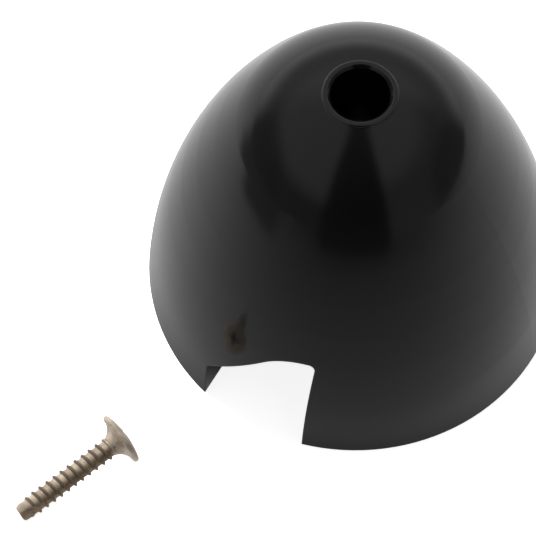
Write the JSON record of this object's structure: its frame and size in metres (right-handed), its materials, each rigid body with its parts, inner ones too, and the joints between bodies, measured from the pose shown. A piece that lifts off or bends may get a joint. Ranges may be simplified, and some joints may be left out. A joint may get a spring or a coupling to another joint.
{
  "type": "propeller spinner",
  "caption": "Black moulded nose cone for a model aircraft's propeller, with a screw well on its axis, slanted blade cut-outs in its rim and its retaining screw lying beside it.",
  "frame": {"origin": "centre of the rim plane, on the spinner's axis", "axes": "+Z along the axis to the nose; the two blade cut-outs face -Y and +Y"},
  "size_m": [0.05, 0.0736, 0.0412],
  "materials": {
    "black_plastic": "satin-gloss injection moulded, as from a polished mould",
    "screw_steel": "dull nickel-plated steel, darker in the thread roots"
  },
  "bodies": {
    "root": {"spinner_shell": "black_plastic", "retaining_screw": "screw_steel"}
  },
  "joints": []
}
